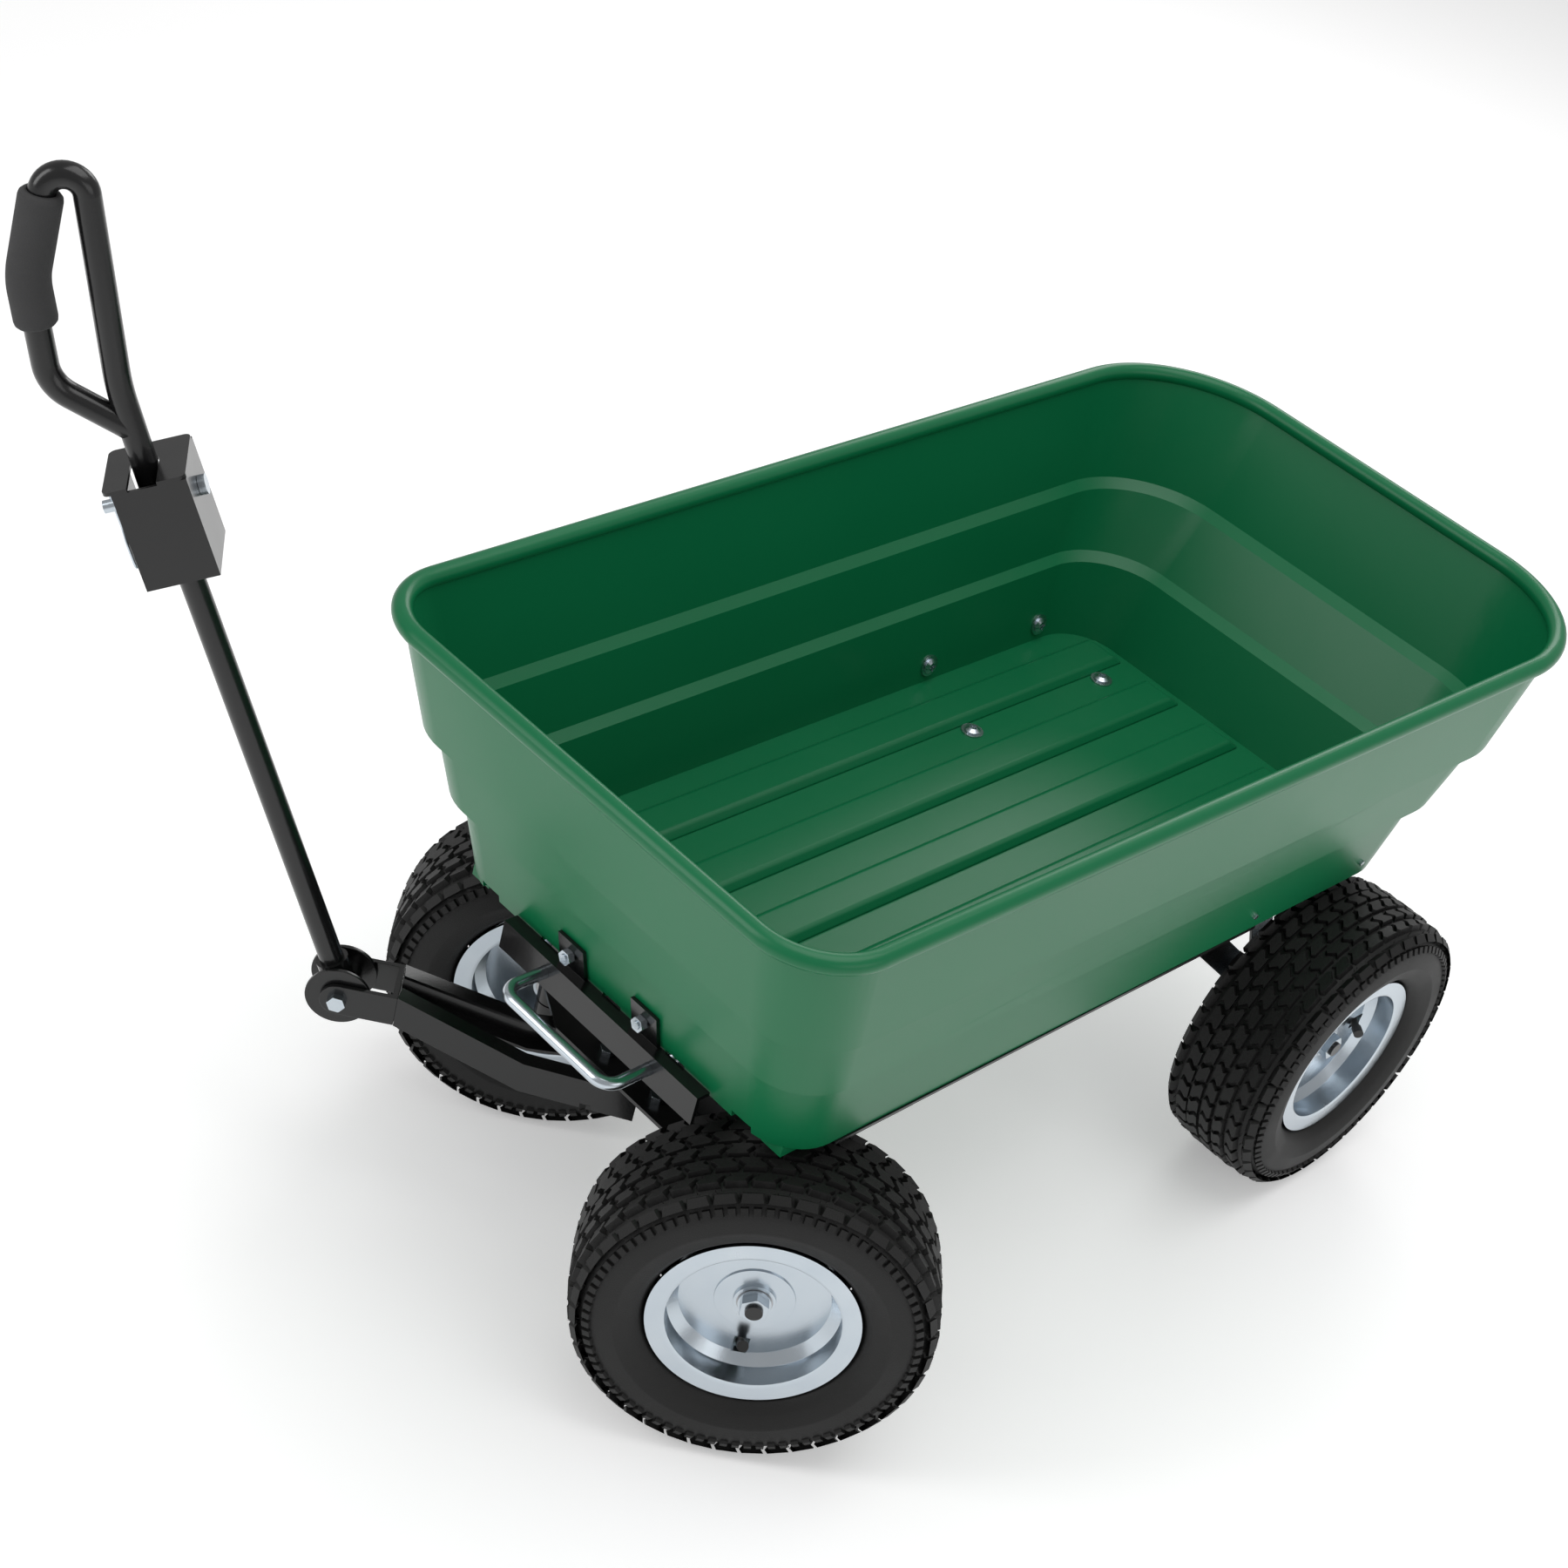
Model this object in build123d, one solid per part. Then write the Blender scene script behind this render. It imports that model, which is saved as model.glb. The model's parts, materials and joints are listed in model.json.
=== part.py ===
from build123d import *
from math import sin, cos, tan, radians, degrees, atan2, hypot
import os

# Tip-up garden cart: a moulded tub hinged on a steel chassis, with a
# knuckle-steered front axle, a drawbar and a folding pull handle.
# Millimetres. +X runs forward towards the handle, +Y to the left, +Z up.
# The origin is on the ground under the middle of the rear axle.

# ---------------------------------------------------------------- clearances
SEAT = 0.2          # between two pieces that are clamped or welded together
FIT = 0.1           # between a fixed shaft and the hole it sits in
RUN = 0.06          # radial running clearance of a turning shaft
GAP = 1.0           # between two plates that swing past each other

# ---------------------------------------------------------------- wheels
TYRE_OD = 330.0
TYRE_W = 122.0
FLANGE_D = 190.0
RIM_W = 95.0
RIM_T = 2.5
SEAT_D = 160.0      # where the tyre bead sits
WELL_D = 140.0
WEB_AT = 15.5       # web plane, outboard of the wheel's middle
WEB_T = 2.5
HUB_OD = 38.0
HUB_IN = -36.0      # inboard end of the hub
HUB_OUT = 21.0      # outboard end of the hub
BEARING_W = 9.0
BEARING_D = 32.0
VALVE_D = 8.0
AXLE_D = 16.0
AXLE_PAST = 35.0    # how far an axle end passes the wheel's middle
NUT_AF = 24.0
NUT_H = 8.5
WASHER_T = 2.2
WASHER_D = 30.0
WHEEL_R = TYRE_OD / 2
AXLE_Z = WHEEL_R

# ---------------------------------------------------------------- layout
WHEELBASE = 706.0
REAR_TRACK = 521.0
KINGPIN_Y = 153.0
STUB = 82.0         # kingpin to wheel middle
STEER = -46.0       # steering angle of the stored pose, degrees

# ---------------------------------------------------------------- tub
FLOOR_Z = 350.0     # inside face of the floor
WALL = 4.5
BASE_Z = FLOOR_Z - WALL
RIM_Z = 634.0       # middle of the rolled rim
BEAD_R = 9.0
# outside outline of the tub at each level: height, front x, rear x,
# half width at the front, half width at the rear, front and rear corner radius
TUB_FRONT = WHEELBASE + 94.0
TUB_BASE = (BASE_Z, TUB_FRONT, -85.0, 226.0, 228.0, 52.0, 60.0)
LOW_TOP = (434.0, TUB_FRONT + 26.0, -112.0, 237.0, 243.0, 56.0, 84.0)
MID_BASE = (441.0, TUB_FRONT + 38.0, -126.0, 247.0, 254.0, 60.0, 92.0)
MID_TOP = (508.0, TUB_FRONT + 58.0, -160.0, 256.0, 265.0, 62.0, 106.0)
TOP_BASE = (516.0, TUB_FRONT + 71.0, -172.0, 265.0, 276.0, 66.0, 116.0)
TUB_RIM = (RIM_Z, TUB_FRONT + 106.0, -204.0, 279.0, 293.0, 70.0, 140.0)
RIB_PITCH = 85.0
RIB_W = 34.0
RIB_H = 8.0
RIB_REAR = -66.0
RIB_FRONT = TUB_FRONT - 30.0

# ---------------------------------------------------------------- chassis
PLATE = 4.0
RAIL_WEB = 190.0    # inner face of a rail's web
RAIL_OUT = 228.0    # outer edge of a rail's flange
RAIL_FLANGE = 3.2
RAIL_TOP = BASE_Z - 0.3
RAIL_H = 37.0
RAIL_FRONT = WHEELBASE + 36.0
RAIL_STEP = 150.0   # the flange starts here, the web runs on to the hinge
WEB_FRONT = WHEELBASE - 161.0
MID_X = 500.0
HINGE_X = -70.0
HINGE_Z = 326.0
HINGE_PIN_D = 11.0
BEAM_W = 40.0
BEAM_H = 34.0
BEAM_Z = 236.0 + SEAT
SLEEVE_D = 30.0
KINGPIN_D = 16.0
FOOT_Z = 232.0      # underside of the front plate

# ---------------------------------------------------------------- drawbar
YOKE_U = 250.0      # steering axis to the back of the yoke
PIVOT_U = 303.0     # steering axis to the handle's pivot
PIVOT_Z = 250.0
ARM_H = 33.0
ARM_T = 5.0
ARM_LOW = 196.0
TAIL = 70.0         # steering axis to the tie bar's pins
DISC_R = 30.0
DISC_T = 4.0
BLOCK_W = 30.0
TUBE_D = 22.0
TUBE_T = 1.6
TUBE_START = 13.0
SOCKET_END = 30.0
LEAN = 66.0         # handle angle above level in the stored pose
FOAM_D = 35.0
PIN_D = 11.0

# ---------------------------------------------------------------- latch
ROD_D = 12.0
ROD_Z = 336.0
ROD_Y = 71.0
ROD_OUT = TUB_FRONT + 65.0     # middle of the bar's cross piece
BRACKET_X = TUB_FRONT + 13.0
STRIKER_X = BRACKET_X - 72.0
ROD_TIP = STRIKER_X + PLATE + 4.0


def up(z):
    return Pos(0, 0, z)


def box(x0, x1, y0, y1, z0, z1):
    return Pos((x0 + x1) / 2, (y0 + y1) / 2, (z0 + z1) / 2) * Box(x1 - x0, y1 - y0, z1 - z0)


def rod(x, y, z0, z1, d):
    return Pos(x, y, (z0 + z1) / 2) * Cylinder(d / 2, z1 - z0)


def rod_x(x0, x1, y, z, d):
    return Pos((x0 + x1) / 2, y, z) * Rot(0, 90, 0) * Cylinder(d / 2, x1 - x0)


def rod_y(x, y0, y1, z, d):
    return Pos(x, (y0 + y1) / 2, z) * Rot(90, 0, 0) * Cylinder(d / 2, abs(y1 - y0))


def ring(z0, z1, od, bore):
    return rod(0, 0, z0, z1, od) - rod(0, 0, z0 - 1, z1 + 1, bore)


def hexagon(z0, z1, af, bore=0.0):
    body = up(z0) * extrude(RegularPolygon(af / 2, 6, major_radius=False), z1 - z0)
    body = body & (up(z0 - 1.2) * Cone(af / 2 * 1.16 + (z1 - z0) * 1.2, af / 2 * 1.10, z1 - z0 + 1.2,
                                       align=(Align.CENTER, Align.CENTER, Align.MIN)))
    if bore > 0:
        body = body - rod(0, 0, z0 - 1, z1 + 1, bore)
    return body


def plate_xz(points, y0, y1):
    face = make_face(Polyline(*[(x, 0, z) for x, z in points], close=True))
    return Pos(0, y0, 0) * extrude(face, y1 - y0, dir=(0, 1, 0))


def both_sides(part):
    return [part, mirror(part, about=Plane.XZ)]


# ---------------------------------------------------------------- frames of reference
STEER_DIR = (cos(radians(STEER)), sin(radians(STEER)), 0)
AXLE_DIR = (-sin(radians(STEER)), cos(radians(STEER)), 0)
DRAWBAR = Plane(origin=(WHEELBASE, 0, 0), x_dir=STEER_DIR, z_dir=(0, 0, 1))
HANDLE = DRAWBAR.location * Plane(origin=(PIVOT_U, 0, PIVOT_Z), z_dir=(0, 1, 0),
                                  x_dir=(cos(radians(LEAN)), 0, sin(radians(LEAN)))).location


def knuckle_plane(side):
    return Plane(origin=(WHEELBASE, side * KINGPIN_Y, 0), x_dir=STEER_DIR, z_dir=(0, 0, 1))


def wheel_plane(name):
    side = 1 if name.endswith("left") else -1
    if name.startswith("rear"):
        return Plane(origin=(0, side * REAR_TRACK / 2, AXLE_Z), x_dir=(1, 0, 0), z_dir=(0, side, 0))
    hub = knuckle_plane(side) * Pos(0, side * STUB, AXLE_Z)
    out = (side * AXLE_DIR[0], side * AXLE_DIR[1], 0)
    return Plane(origin=hub.position, x_dir=(0, 0, 1), z_dir=out)


# ---------------------------------------------------------------- wheel pieces
def spin(points, smooth=None):
    return revolve(make_face(points), Axis.Z)


def tyre():
    r = WHEEL_R
    w = TYRE_W / 2
    bead = SEAT_D / 2 + SEAT
    lip = RIM_W / 2 - 3.0 - SEAT
    outer = Spline((FLANGE_D / 2 + 1.5, 0, lip + 4), (r - 56, 0, w - 3), (r - 38, 0, w), (r - 20, 0, w - 4),
                   (r - 7, 0, w - 14), (r - 2, 0, w - 30), (r, 0, 0), (r - 2, 0, 30 - w), (r - 7, 0, 14 - w),
                   (r - 20, 0, 4 - w), (r - 38, 0, -w), (r - 56, 0, 3 - w), (FLANGE_D / 2 + 1.5, 0, -lip - 4))
    inner = Spline((FLANGE_D / 2 - 3, 0, -lip + 8), (r - 52, 0, 13 - w), (r - 38, 0, 10 - w), (r - 24, 0, 15 - w),
                   (r - 14, 0, 27 - w), (r - 11, 0, 0), (r - 14, 0, w - 27), (r - 24, 0, w - 15),
                   (r - 38, 0, w - 10), (r - 52, 0, w - 13), (FLANGE_D / 2 - 3, 0, lip - 8))
    left = Polyline((FLANGE_D / 2 + 1.5, 0, -lip - 4), (FLANGE_D / 2 + 1.5, 0, -lip), (bead, 0, -lip),
                    (bead, 0, -lip + 11), (FLANGE_D / 2 - 3, 0, -lip + 8))
    right = Polyline((FLANGE_D / 2 - 3, 0, lip - 8), (bead, 0, lip - 11), (bead, 0, lip),
                     (FLANGE_D / 2 + 1.5, 0, lip), (FLANGE_D / 2 + 1.5, 0, lip + 4))
    return revolve(make_face([outer, left, inner, right]), Axis.Z)


def rim():
    f = FLANGE_D / 2
    s = SEAT_D / 2
    g = WELL_D / 2
    w = RIM_W / 2
    half = [(f, w), (f, w - 3), (s, w - 3), (s, 24), (g, 16)]
    back = [(g - RIM_T, 17), (s - RIM_T, 25), (s - RIM_T, w - 1.5), (s + 1, w)]
    loop = half + [(r, -z) for r, z in reversed(half)]
    loop = loop + [(r, -z) for r, z in reversed(back)] + back
    barrel = revolve(make_face(Polyline(*[(r, 0, z) for r, z in loop], close=True)), Axis.Z)
    web = ring(WEB_AT - WEB_T / 2, WEB_AT + WEB_T / 2, WELL_D - RIM_T, HUB_OD - 1)
    dish = ring(WEB_AT + WEB_T / 2 - 0.1, WEB_AT + WEB_T / 2 + 1.5, 2 * HUB_OD - 4, HUB_OD - 1)
    hub = ring(HUB_IN, HUB_OUT, HUB_OD, AXLE_D + 8)
    for z0, z1 in ((HUB_IN - 1, HUB_IN + BEARING_W + SEAT), (HUB_OUT - BEARING_W - SEAT, HUB_OUT + 1)):
        hub = hub - rod(0, 0, z0, z1, BEARING_D + 2 * FIT)
    slot = Pos(-g + 11, 0, WEB_AT) * Box(18, VALVE_D + 6, WEB_T * 6)
    return barrel + web + dish - slot + hub


def bearings():
    inner = ring(HUB_IN, HUB_IN + BEARING_W, BEARING_D, AXLE_D + 2 * RUN)
    outer = ring(HUB_OUT - BEARING_W, HUB_OUT, BEARING_D, AXLE_D + 2 * RUN)
    return [inner, outer]


def valve():
    foot = WELL_D / 2 - RIM_T - 0.3 - VALVE_D / 2 * 0.78
    lean = Plane(origin=(-foot, 0, WEB_AT - 7.5), z_dir=(0.62, 0, 0.78))
    return lean.location * (rod(0, 0, 0, 22, VALVE_D) + rod(0, 0, 21, 31, VALVE_D + 2.5))


WHEELS = ("front_left", "front_right", "rear_left", "rear_right")

nodes = {}
for wheel in WHEELS:
    at = wheel_plane(wheel).location
    nodes["tyre_" + wheel] = [at * tyre()]
    nodes["rim_" + wheel] = [at * rim()]
    nodes["bearings_" + wheel] = [at * b for b in bearings()]
    nodes["valve_" + wheel] = [at * valve()]


# ---------------------------------------------------------------- axle ends
def nut_and_washer():
    w0 = HUB_OUT + 0.3
    return [ring(w0, w0 + WASHER_T, WASHER_D, AXLE_D + 2 * FIT),
            hexagon(w0 + WASHER_T + FIT, w0 + WASHER_T + FIT + NUT_H, NUT_AF, AXLE_D + 2 * FIT)]


nodes["rear_axle_nuts"] = []
for wheel in ("rear_left", "rear_right"):
    nodes["rear_axle_nuts"] += [wheel_plane(wheel).location * p for p in nut_and_washer()]
nodes["rear_axle"] = [rod_y(0, -REAR_TRACK / 2 - AXLE_PAST, REAR_TRACK / 2 + AXLE_PAST, AXLE_Z, AXLE_D)]
LEG_OUT = RAIL_WEB - SEAT
COLLAR_OUT = REAR_TRACK / 2 + HUB_IN - 0.3
collar = rod_y(0, LEG_OUT + SEAT, COLLAR_OUT, AXLE_Z, AXLE_D + 9) - rod_y(0, 0, 300, AXLE_Z, AXLE_D + 2 * FIT)
nodes["rear_axle"] += both_sides(collar)

# ---------------------------------------------------------------- rails and legs
WEB_LOW = RAIL_TOP - RAIL_H - 3
web = box(HINGE_X, WEB_FRONT, RAIL_WEB, RAIL_WEB + PLATE, WEB_LOW, RAIL_TOP - RAIL_FLANGE)
web = web + rod_y(HINGE_X, RAIL_WEB, RAIL_WEB + PLATE, HINGE_Z, 32)
web = web - box(HINGE_X - 40, HINGE_X, RAIL_WEB - 1, RAIL_WEB + PLATE + 1, HINGE_Z + 17, RAIL_TOP + 5)
web = web - rod_y(HINGE_X, RAIL_WEB - 1, RAIL_WEB + PLATE + 1, HINGE_Z, HINGE_PIN_D + 2 * RUN)
flange = box(RAIL_STEP, RAIL_FRONT, RAIL_WEB, RAIL_OUT, RAIL_TOP - RAIL_FLANGE, RAIL_TOP)
rail = web + flange
nodes["rail_left"] = [rail]
nodes["rail_right"] = [mirror(rail, about=Plane.XZ)]

LEG_TOP = RAIL_TOP - RAIL_FLANGE - 6
bar = 32.0


def strut(x, z, width):
    run = hypot(x, z - AXLE_Z)
    side = ((z - AXLE_Z) / run * width / 2, -x / run * width / 2)
    return [(side[0], AXLE_Z + side[1]), (x + side[0], z + side[1]), (x - side[0], z - side[1]),
            (-side[0], AXLE_Z - side[1])]


leg = plate_xz(strut(206, 340, bar), LEG_OUT - PLATE, LEG_OUT) + plate_xz(strut(86, 345, bar), LEG_OUT - PLATE, LEG_OUT)
leg = leg + rod_y(0, LEG_OUT - PLATE, LEG_OUT, AXLE_Z, 46)
leg = leg - box(-100, 400, LEG_OUT - PLATE - 1, LEG_OUT + 1, LEG_TOP, 400)
leg = leg - rod_y(0, LEG_OUT - PLATE - 1, LEG_OUT + 1, AXLE_Z, AXLE_D + 2 * FIT)
nodes["rear_leg_left"] = [leg]
nodes["rear_leg_right"] = [mirror(leg, about=Plane.XZ)]

CROSS_Y = LEG_OUT - PLATE - SEAT
cross = box(52, 56, -CROSS_Y, CROSS_Y, 306, LEG_TOP) + box(56, 84, -CROSS_Y, CROSS_Y, 306, 310)
nodes["rear_cross"] = [cross]
mid = box(MID_X, MID_X + PLATE, -RAIL_WEB + SEAT, RAIL_WEB - SEAT, 306, LEG_TOP)
mid = mid + box(MID_X + PLATE, MID_X + 30, -RAIL_WEB + SEAT, RAIL_WEB - SEAT, 306, 310)
nodes["middle_cross"] = [mid]

# ---------------------------------------------------------------- front end of the chassis
CROSS_TOP = RAIL_TOP - RAIL_FLANGE - SEAT
CROSS_FRONT = STRIKER_X - 16.0
front = box(CROSS_FRONT - 85, CROSS_FRONT, -226, 226, CROSS_TOP - PLATE, CROSS_TOP)
front = front + box(CROSS_FRONT - PLATE, CROSS_FRONT, -140, 140, BEAM_Z + BEAM_H + SEAT, CROSS_TOP - PLATE)
nodes["front_cross"] = [front]
GUSSET_X = CROSS_FRONT - PLATE - SEAT
gusset = plate_xz([(GUSSET_X, BEAM_Z + BEAM_H + SEAT), (GUSSET_X, CROSS_TOP - PLATE - SEAT),
                   (WHEELBASE - 51, CROSS_TOP - PLATE - SEAT), (WHEELBASE - 18, BEAM_Z + BEAM_H + SEAT)], 88, 94)
nodes["bolsters"] = both_sides(gusset)
beam_tube = box(WHEELBASE - BEAM_W / 2, WHEELBASE + BEAM_W / 2, -KINGPIN_Y + 4, KINGPIN_Y - 4, BEAM_Z, BEAM_Z + BEAM_H)
beam_tube = beam_tube - box(WHEELBASE - BEAM_W / 2 + 3, WHEELBASE + BEAM_W / 2 - 3, -KINGPIN_Y + 18, KINGPIN_Y - 18,
                            BEAM_Z + 3, BEAM_Z + BEAM_H - 3)
SLEEVE_LOW = 192.0
for side in (-1, 1):
    beam_tube = beam_tube + rod(WHEELBASE, side * KINGPIN_Y, SLEEVE_LOW, BEAM_Z + BEAM_H, SLEEVE_D)
for side in (-1, 1):
    beam_tube = beam_tube - rod(WHEELBASE, side * KINGPIN_Y, SLEEVE_LOW - 1, 400, KINGPIN_D + 2 * RUN)
beam_tube = beam_tube - rod(WHEELBASE, 0, 200, 400, 16 + 2 * FIT)
PLATE_BOLTS = ((WHEELBASE + 42, 35), (WHEELBASE + 42, -35))
nodes["axle_beam"] = [beam_tube]
half_plate = [(62, 0), (62, 85), (32, 140), (19, 168), (-19, 168), (-34, 140), (-60, 85), (-60, 0)]
loop = [(WHEELBASE + x, y) for x, y in half_plate]
loop = loop + [(x, -y) for x, y in reversed(loop[1:-1])]
foot = up(FOOT_Z) * extrude(make_face(Polyline(*loop, close=True)), PLATE, dir=(0, 0, 1))
foot = foot - rod(WHEELBASE, 0, 200, 260, 16 + 2 * FIT)
for y in (-KINGPIN_Y, KINGPIN_Y):
    foot = foot - rod(WHEELBASE, y, 200, 260, SLEEVE_D + 2 * SEAT)
for x, y in PLATE_BOLTS:
    foot = foot - rod(x, y, 200, 260, 8 + 2 * FIT)
nodes["front_plate"] = [foot]
bolts = []
for x, y in PLATE_BOLTS:
    bolts.append(Pos(x, y, FOOT_Z + PLATE + FIT) * (hexagon(0, 7, 14) + rod(0, 0, -PLATE - FIT, 1, 8)))
nodes["frame_bolts"] = bolts
strike = box(STRIKER_X, STRIKER_X + PLATE, -100, 100, 316, RAIL_TOP - 1)
strike = strike + box(CROSS_FRONT + SEAT, STRIKER_X + 1, -100, 100, 316, 320)
for side in (-1, 1):
    strike = strike - rod_x(STRIKER_X - 5, STRIKER_X + 10, side * ROD_Y, ROD_Z, ROD_D + 2)
nodes["striker"] = [strike]

# steering axis bolt through beam, plate and drawbar
BASE_LOW = ARM_LOW
centre_bolt = Pos(WHEELBASE, 0, 0) * (rod(0, 0, BASE_LOW - 12, BEAM_Z + BEAM_H + 1, 16)
                                      + hexagon(BEAM_Z + BEAM_H + FIT, BEAM_Z + BEAM_H + 10, NUT_AF))
steering_nut = Pos(WHEELBASE, 0, 0) * hexagon(BASE_LOW - 11.5, BASE_LOW - GAP, NUT_AF, 16 + 2 * FIT)
nodes["steering_bolt"] = [centre_bolt, steering_nut]

# ---------------------------------------------------------------- steering knuckles and tie bar
BOSS_TOP = SLEEVE_LOW - 1.5
BOSS_LOW = 143.0
LINK_Z = 189.0      # underside of the tie bar
LINK_T = 6.0
LEVER_TOP = LINK_Z - GAP
LINK_PIN = 10.0


def knuckle(side):
    boss = rod(0, 0, BOSS_LOW, BOSS_TOP, SLEEVE_D) + rod(0, 0, BOSS_TOP - 5, BEAM_Z + BEAM_H + 14, KINGPIN_D)
    lever = box(-TAIL, 0, -10, 10, LEVER_TOP - 6, LEVER_TOP) + rod(-TAIL, 0, LEVER_TOP - 6, LEVER_TOP, 22)
    lever = lever - rod(-TAIL, 0, LEVER_TOP - 10, LEVER_TOP + 5, LINK_PIN + 2 * RUN)
    stub = rod_y(0, side * 8, side * (STUB + AXLE_PAST), AXLE_Z, AXLE_D)
    stub = stub + rod_y(0, side * 10, side * (STUB + HUB_IN - 0.3), AXLE_Z, AXLE_D + 8)
    return boss + lever + stub


for side, word in ((1, "left"), (-1, "right")):
    at = knuckle_plane(side).location
    nodes["knuckle_" + word] = [at * knuckle(side)]
    nodes["front_axle_nut_" + word] = [wheel_plane("front_" + word).location * p for p in nut_and_washer()]
    top = BEAM_Z + BEAM_H
    nodes["kingpin_nut_" + word] = [at * hexagon(top + GAP, top + GAP + 9, NUT_AF, KINGPIN_D + 2 * FIT)]

tail_x = WHEELBASE - TAIL * STEER_DIR[0]
tail_y = -TAIL * STEER_DIR[1]
link = Pos(tail_x, tail_y, 0) * box(-9, 9, -KINGPIN_Y, KINGPIN_Y, LINK_Z, LINK_Z + LINK_T)
for y in (-KINGPIN_Y, 0, KINGPIN_Y):
    link = link + rod(tail_x, tail_y + y, LINK_Z, LINK_Z + LINK_T, 22)
for y in (-KINGPIN_Y, KINGPIN_Y):
    link = link + rod(tail_x, tail_y + y, LEVER_TOP - 10, LINK_Z + LINK_T + 3, LINK_PIN)
link = link + rod(tail_x, tail_y, LINK_Z - 4, BASE_LOW + 9, LINK_PIN)
nodes["tie_bar"] = [link]

# ---------------------------------------------------------------- drawbar
base = rod(0, 0, BASE_LOW, FOOT_Z - GAP, 40) + box(-TAIL, 60, -20, 20, BASE_LOW, BASE_LOW + 5)
base = base + rod(-TAIL, 0, BASE_LOW, BASE_LOW + 5, 24) + box(20, 64, -42, 42, BASE_LOW, BASE_LOW + 5)
base = base - rod(0, 0, 100, 300, 16 + 2 * RUN) - rod(-TAIL, 0, 100, 300, LINK_PIN + 2 * RUN)
nodes["drawbar_base"] = [DRAWBAR.location * base]

ARM_IN = (20.0, 46.0)        # start of an arm: along, across
ARM_OUT = (YOKE_U - SEAT, 24.0)
KINK_U = 128.0      # the arms start to rise here, clear of the front plate


def arm():
    u0, w0 = ARM_IN
    u1, w1 = ARM_OUT
    yaw = degrees(atan2(w1 - w0, u1 - u0))
    span = hypot(u1 - u0, w1 - w0)
    low = BASE_LOW
    high = PIVOT_Z - ARM_H / 2
    k = KINK_U - u0

    def side_view(inset):
        return [(0, low + inset), (k, low + inset), (span, high + inset),
                (span, high + ARM_H - inset), (k, low + ARM_H - inset), (0, low + ARM_H - inset)]
    body = plate_xz(side_view(0), -16, 0) - plate_xz(side_view(3.5), -17, -3.5)
    return Pos(u0, w0, 0) * Rot(0, 0, yaw) * body


one_arm = arm() - box(0, 70, -42.2, 42.2, BASE_LOW - 1, BASE_LOW + 5 + SEAT)
nodes["drawbar_arms"] = [DRAWBAR.location * a for a in both_sides(one_arm)]

EAR_IN = BLOCK_W / 2 + DISC_T + 0.7
EAR_T = 4.5
ear = box(YOKE_U, PIVOT_U, EAR_IN, EAR_IN + EAR_T, PIVOT_Z - 16, PIVOT_Z + 16)
ear = ear + rod_y(PIVOT_U, EAR_IN, EAR_IN + EAR_T, PIVOT_Z, 32)
ear = ear - rod_y(PIVOT_U, 0, 40, PIVOT_Z, 10 + 2 * FIT)
yoke = ear + mirror(ear, about=Plane.XZ) + box(YOKE_U, YOKE_U + 5, -EAR_IN - 1, EAR_IN + 1, PIVOT_Z - 16, PIVOT_Z + 16)
nodes["yoke"] = [DRAWBAR.location * yoke]

# ---------------------------------------------------------------- handle
block = rod(0, 0, -BLOCK_W / 2, BLOCK_W / 2, 34) + rod_x(0, SOCKET_END, 0, 0, BLOCK_W - 0.6)
block = block - rod_x(TUBE_START - SEAT, SOCKET_END + 10, 0, 0, TUBE_D + 2 * FIT)
block = block - rod(0, 0, -40, 40, 10 + 2 * RUN)
nodes["pivot_block"] = [HANDLE * block]
discs = []
for side in (-1, 1):
    z = side * (BLOCK_W / 2 + FIT + DISC_T / 2)
    disc = Pos(0, 0, z) * Cylinder(DISC_R, DISC_T) - rod(0, 0, -40, 40, 10 + 2 * RUN)
    discs.append(HANDLE * disc)
nodes["friction_discs"] = discs
bolt_out = EAR_IN + EAR_T + FIT
pivot_bolt = rod(0, 0, -bolt_out - 9, bolt_out + 1, 10) + hexagon(bolt_out, bolt_out + 6.5, 15)
pivot_nut = hexagon(-bolt_out - 8, -bolt_out, 15, 10 + 2 * FIT)
nodes["pivot_bolt"] = [HANDLE * pivot_bolt, HANDLE * pivot_nut]

# grip tube in its own plane: along the handle, forward of it
GRIP = [(470.0, 10.0), (604.0, 6.5), (870.0, -41.0), (709.6, 43.8), (619.6, 57.8), (568.0, 8.6)]
GRIP_R = [200.0, 17.0, 70.0, 36.0]
GRIP_OFF = -20.0    # the grip's plane from the handle's own
BOX_YAW = 9.0       # the hitch box is turned this much about the handle


def rounded_path(points, radii):
    edges = []
    here = Vector(points[0][0], points[0][1], 0)
    for i in range(1, len(points) - 1):
        a = Vector(points[i - 1][0], points[i - 1][1], 0)
        b = Vector(points[i][0], points[i][1], 0)
        c = Vector(points[i + 1][0], points[i + 1][1], 0)
        into = (b - a).normalized()
        out = (c - b).normalized()
        turn = radians(into.get_angle(out))
        cut = radii[i - 1] * tan(turn / 2)
        start = b - into * cut
        end = b + out * cut
        edges.append(Line(here, start))
        edges.append(TangentArc(start, end, tangent=into))
        here = end
    edges.append(Line(here, Vector(points[-1][0], points[-1][1], 0)))
    return edges


def tube_on(edges, d):
    path = Wire([e.edge() if hasattr(e, "edge") else e for e in edges])
    first = edges[0]
    section = Plane(origin=first @ 0, z_dir=first % 0) * Circle(d / 2)
    return sweep(section, path=path)


HITCH = HANDLE * Rot(BOX_YAW, 0, 0)
GRIP_AT = HITCH * Pos(0, 0, GRIP_OFF)
BOX_S = (441.5, 532.0)
BOX_N = (-27.5, 34.0)
TOP_N = (-27.5, 41.0)
BOX_W = (-56.0, 19.0)
BOX_T = 3.2
PIN_S = 505.0

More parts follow.
